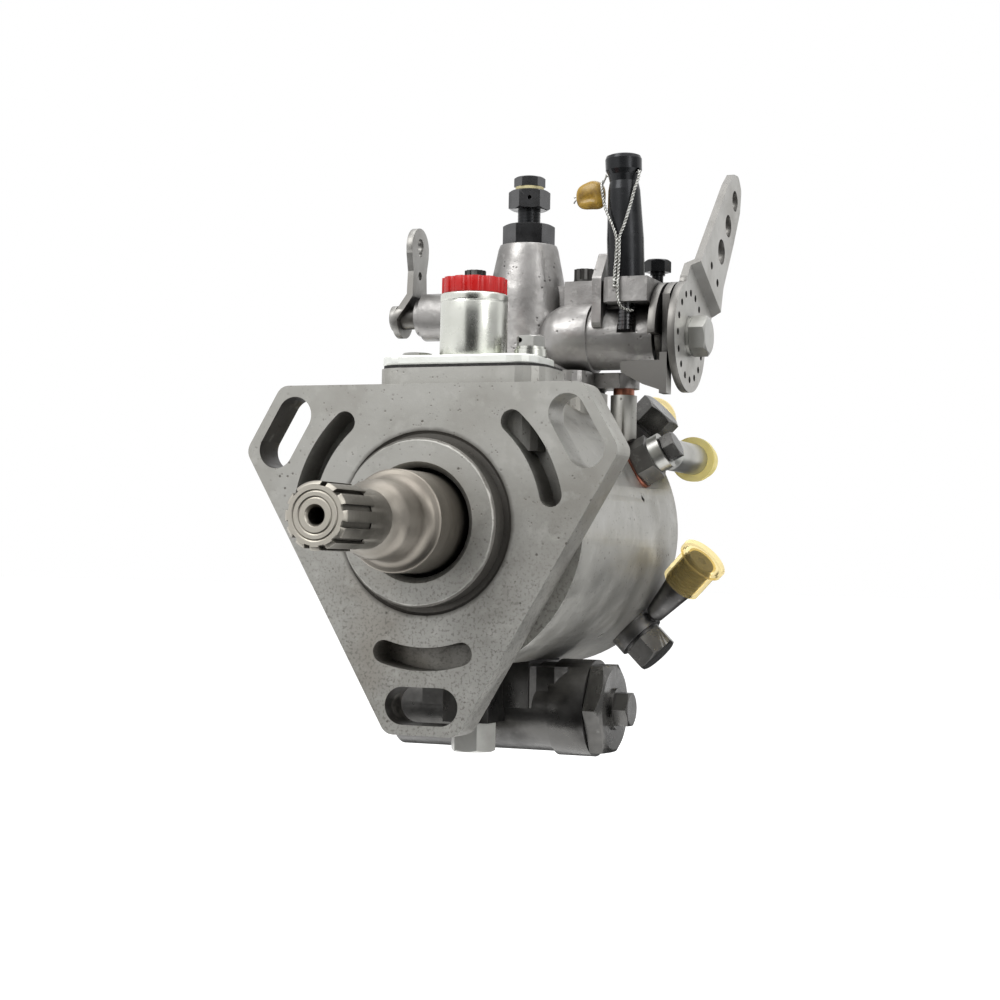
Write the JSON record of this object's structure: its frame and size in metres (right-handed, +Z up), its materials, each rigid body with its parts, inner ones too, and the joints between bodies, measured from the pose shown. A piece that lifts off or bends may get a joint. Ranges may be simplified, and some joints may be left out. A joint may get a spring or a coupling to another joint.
{
  "type": "fuel injection pump",
  "caption": "Flange-mounted rotary distributor fuel injection pump with splined drive, throttle and stop levers, banjo outlets and a transverse advance unit.",
  "frame": {"origin": "on the drive shaft's axis at the front face of the mounting flange", "axes": "+X right seen from the drive end, +Y from the drive end to the rear, +Z up, away from the advance unit"},
  "size_m": [0.1217, 0.1987, 0.1796],
  "materials": {
    "casting": "cast, slightly rough",
    "dark_casting": "rough cast",
    "steel": "ground",
    "dark_steel": "phosphated",
    "zinc": "zinc plated",
    "black_metal": "black, satin",
    "copper": "soft copper",
    "bronze": "plain bronze",
    "red_plastic": "moulded, satin",
    "yellow_plastic": "thin translucent plastic",
    "mustard_plastic": "opaque plastic",
    "gasket": "compressed fibre"
  },
  "bodies": {
    "pump": {"main_housing": "casting", "shaft_seal": "gasket", "shaft_bush": "bronze", "hydraulic_head": "steel", "head_locating_fitting": "dark_steel", "transfer_liner": "steel", "end_plate": "casting", "end_plate_oring": "gasket", "end_plate_screws": "dark_steel", "regulating_valve": "dark_steel", "inlet_union": "dark_steel", "top_gasket": "gasket", "top_plate": "zinc", "adapter_tube": "zinc", "red_plug": "red_plastic", "plate_screws": "dark_steel", "plate_washers": "zinc", "governor_housing": "dark_casting", "housing_gaskets": "gasket", "governor_screws": "dark_steel", "gland_nut": "black_metal", "governor_stem": "black_metal", "stem_nut": "dark_steel", "vent_ring": "yellow_plastic", "vent_screw": "dark_steel", "max_speed_screw": "dark_steel", "max_speed_cap": "black_metal", "idle_screw": "dark_steel", "seal_wire": "zinc", "wire_seal": "mustard_plastic", "copper_washers": "copper", "outlet_washers": "dark_steel", "head_locking_screw": "dark_steel", "bleed_banjo": "zinc", "bleed_bolt": "dark_steel", "bleed_cap": "yellow_plastic", "outlet_bolts": "dark_steel", "outlet_banjos": "dark_steel", "outlet_caps": "yellow_plastic", "advance_housing": "dark_casting", "advance_cap_nut": "dark_casting", "advance_plug": "dark_steel", "advance_end_plug": "dark_steel", "advance_spring": "steel", "advance_nut": "zinc"},
    "drive": {"drive_shaft": "steel", "drive_plate": "steel", "rotor": "steel", "plungers": "steel", "roller_shoes": "steel", "rollers": "steel", "transfer_rotor": "steel", "transfer_blades": "dark_steel"},
    "cam": {"cam_ring": "steel"},
    "piston": {"advance_piston": "steel"},
    "valve": {"metering_valve": "steel", "governor_spring": "steel"},
    "throttle": {"throttle_shaft": "zinc", "throttle_lever": "zinc"},
    "stop": {"stop_lever": "dark_steel"}
  },
  "joints": [
    {"name": "drive_spin", "type": "hinge", "parent": "pump", "child": "drive", "pos_m": [0, 0, 0], "axis": [0, 1, 0], "continuous": true},
    {"name": "cam_advance", "type": "hinge", "parent": "pump", "child": "cam", "pos_m": [0, 0.052, 0], "axis": [0, -1, 0], "range_deg": [0, 6.5]},
    {"name": "piston_slide", "type": "slide", "parent": "pump", "child": "piston", "axis": [1, 0, 0], "range_m": [0, 0.006]},
    {"name": "throttle_turn", "type": "hinge", "parent": "pump", "child": "throttle", "pos_m": [0.04, 0.071, 0.0579], "axis": [-1, 0, 0], "range_deg": [0, 45]},
    {"name": "valve_lift", "type": "slide", "parent": "pump", "child": "valve", "axis": [0, 0, 1], "range_m": [-0.0026, 0]},
    {"name": "stop_turn", "type": "hinge", "parent": "pump", "child": "stop", "pos_m": [-0.03, 0.071, 0.0658], "axis": [1, 0, 0], "range_deg": [0, 40]}
  ],
  "couplings": [
    {"joint": "piston_slide", "follows": "cam_advance", "m_per_rad": 0.052},
    {"joint": "valve_lift", "follows": "throttle_turn", "m_per_rad": -0.003}
  ]
}
